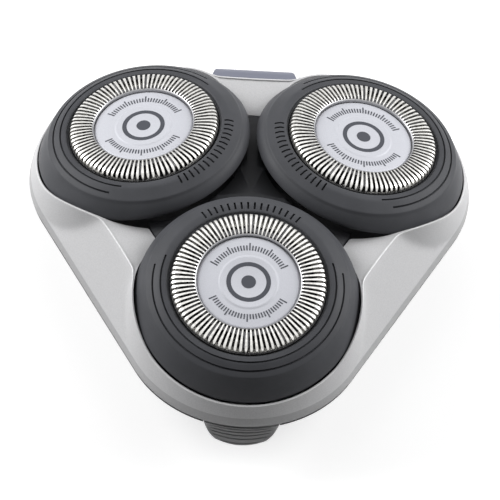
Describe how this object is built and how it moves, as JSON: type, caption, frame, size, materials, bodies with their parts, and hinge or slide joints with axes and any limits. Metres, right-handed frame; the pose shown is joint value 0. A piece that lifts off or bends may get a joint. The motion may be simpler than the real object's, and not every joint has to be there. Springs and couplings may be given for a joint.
{
  "type": "rotary shaver head",
  "caption": "Hinged shaver head: leaning round cutter pods in a silver lid over a hair chamber with its gear train, a release tab and a coupling ring.",
  "frame": {"origin": "centre of the coupling collar's flat bottom face, where the head meets a handle", "axes": "+Z out of the handle towards the guards, -Y towards the release button at the front, hinge at +Y"},
  "size_m": [0.0672, 0.0648, 0.0259],
  "materials": {
    "satin_silver": "satin silver lacquer",
    "black_plastic": "black moulded plastic",
    "chamber_plastic": "dark grey moulded plastic",
    "spring_steel": "plain steel",
    "hinge_cover_plastic": "smooth blue-grey plastic",
    "gear_plastic": "natural white acetal",
    "tab_plastic": "fine ribbed dark grey plastic",
    "graphite_plastic": "smooth graphite plastic",
    "guard_steel": "polished steel",
    "pale_lilac_plastic": "pearl lilac lacquer",
    "hub_plastic": "white moulded plastic",
    "blade_steel": "ground steel"
  },
  "bodies": {
    "base": {"hair_chamber": "chamber_plastic", "gear_cover": "chamber_plastic", "coupling_collar": "black_plastic", "hinge_pin": "spring_steel", "hinge_cover": "hinge_cover_plastic"},
    "drive": {"drive_gear": "gear_plastic"},
    "button": {"release_button": "tab_plastic"},
    "lid": {"outer_shell": "satin_silver", "inner_frame": "black_plastic"},
    "pod_front": {"pod_ring_front": "graphite_plastic", "carrier_front": "black_plastic", "guard_front": "guard_steel", "guard_cover_front": "pale_lilac_plastic"},
    "lock_front": {"retaining_ring_front": "hub_plastic"},
    "cutter_unit_front": {"cutter_front": "blade_steel", "cutter_hub_front": "hub_plastic"},
    "satellite_front": {"satellite_gear_front": "gear_plastic", "spindle_spring_front": "spring_steel"},
    "spindle_front": {"drive_spindle_front": "guard_steel"},
    "pod_right": {"pod_ring_right": "graphite_plastic", "carrier_right": "black_plastic", "guard_right": "guard_steel", "guard_cover_right": "pale_lilac_plastic"},
    "lock_right": {"retaining_ring_right": "hub_plastic"},
    "cutter_unit_right": {"cutter_right": "blade_steel", "cutter_hub_right": "hub_plastic"},
    "satellite_right": {"satellite_gear_right": "gear_plastic", "spindle_spring_right": "spring_steel"},
    "spindle_right": {"drive_spindle_right": "guard_steel"},
    "pod_left": {"pod_ring_left": "graphite_plastic", "carrier_left": "black_plastic", "guard_left": "guard_steel", "guard_cover_left": "pale_lilac_plastic"},
    "lock_left": {"retaining_ring_left": "hub_plastic"},
    "cutter_unit_left": {"cutter_left": "blade_steel", "cutter_hub_left": "hub_plastic"},
    "satellite_left": {"satellite_gear_left": "gear_plastic", "spindle_spring_left": "spring_steel"},
    "spindle_left": {"drive_spindle_left": "guard_steel"}
  },
  "joints": [
    {"name": "lid_hinge", "type": "hinge", "parent": "base", "child": "lid", "pos_m": [0, 0.0256, 0.0158], "axis": [-1, 0, 0], "range_deg": [0, 95]},
    {"name": "drive_gear_spin", "type": "hinge", "parent": "base", "child": "drive", "pos_m": [0, 0, 0.0054], "axis": [0, 0, 1], "continuous": true},
    {"name": "release_press", "type": "slide", "parent": "base", "child": "button", "axis": [0, 1, 0], "range_m": [0, 0.0012], "stiffness_N_per_m": 800, "springref_m": -0.0006},
    {"name": "pod_tilt_front", "type": "hinge", "parent": "lid", "child": "pod_front", "pos_m": [0, -0.01801, 0.0178], "axis": [1, 0, 0], "range_deg": [-4, 6], "stiffness_Nm_per_rad": 0.02},
    {"name": "retaining_turn_front", "type": "hinge", "parent": "pod_front", "child": "lock_front", "pos_m": [0, -0.01801, 0.0178], "axis": [0, -0.1771, 0.9842], "range_deg": [0, 28]},
    {"name": "cutter_spin_front", "type": "hinge", "parent": "pod_front", "child": "cutter_unit_front", "pos_m": [0, -0.01801, 0.0178], "axis": [0, -0.1771, 0.9842], "continuous": true},
    {"name": "satellite_spin_front", "type": "hinge", "parent": "base", "child": "satellite_front", "pos_m": [0, -0.01801, 0.0054], "axis": [0, 0, 1], "continuous": true},
    {"name": "spindle_slide_front", "type": "slide", "parent": "satellite_front", "child": "spindle_front", "axis": [0, 0, 1], "range_m": [-0.0006, 0], "stiffness_N_per_m": 150, "springref_m": 0.001, "deforming": ["spindle_spring_front"]},
    {"name": "pod_tilt_right", "type": "hinge", "parent": "lid", "child": "pod_right", "pos_m": [0.0156, 0.00901, 0.0178], "axis": [-0.5, 0.866, 0], "range_deg": [-4, 6], "stiffness_Nm_per_rad": 0.02},
    {"name": "retaining_turn_right", "type": "hinge", "parent": "pod_right", "child": "lock_right", "pos_m": [0.0156, 0.00901, 0.0178], "axis": [0.1534, 0.0885, 0.9842], "range_deg": [0, 28]},
    {"name": "cutter_spin_right", "type": "hinge", "parent": "pod_right", "child": "cutter_unit_right", "pos_m": [0.0156, 0.00901, 0.0178], "axis": [0.1534, 0.0885, 0.9842], "continuous": true},
    {"name": "satellite_spin_right", "type": "hinge", "parent": "base", "child": "satellite_right", "pos_m": [0.0156, 0.00901, 0.0054], "axis": [0, 0, 1], "continuous": true},
    {"name": "spindle_slide_right", "type": "slide", "parent": "satellite_right", "child": "spindle_right", "axis": [0, 0, 1], "range_m": [-0.0006, 0], "stiffness_N_per_m": 150, "springref_m": 0.001, "deforming": ["spindle_spring_right"]},
    {"name": "pod_tilt_left", "type": "hinge", "parent": "lid", "child": "pod_left", "pos_m": [-0.0156, 0.00901, 0.0178], "axis": [-0.5, -0.866, 0], "range_deg": [-4, 6], "stiffness_Nm_per_rad": 0.02},
    {"name": "retaining_turn_left", "type": "hinge", "parent": "pod_left", "child": "lock_left", "pos_m": [-0.0156, 0.00901, 0.0178], "axis": [-0.1534, 0.0885, 0.9842], "range_deg": [0, 28]},
    {"name": "cutter_spin_left", "type": "hinge", "parent": "pod_left", "child": "cutter_unit_left", "pos_m": [-0.0156, 0.00901, 0.0178], "axis": [-0.1534, 0.0885, 0.9842], "continuous": true},
    {"name": "satellite_spin_left", "type": "hinge", "parent": "base", "child": "satellite_left", "pos_m": [-0.0156, 0.00901, 0.0054], "axis": [0, 0, 1], "continuous": true},
    {"name": "spindle_slide_left", "type": "slide", "parent": "satellite_left", "child": "spindle_left", "axis": [0, 0, 1], "range_m": [-0.0006, 0], "stiffness_N_per_m": 150, "springref_m": 0.001, "deforming": ["spindle_spring_left"]}
  ],
  "couplings": [
    {"joint": "satellite_spin_front", "follows": "drive_gear_spin", "ratio": -1.5},
    {"joint": "cutter_spin_front", "follows": "drive_gear_spin", "ratio": -1.5},
    {"joint": "satellite_spin_right", "follows": "drive_gear_spin", "ratio": -1.5},
    {"joint": "cutter_spin_right", "follows": "drive_gear_spin", "ratio": -1.5},
    {"joint": "satellite_spin_left", "follows": "drive_gear_spin", "ratio": -1.5},
    {"joint": "cutter_spin_left", "follows": "drive_gear_spin", "ratio": -1.5}
  ]
}
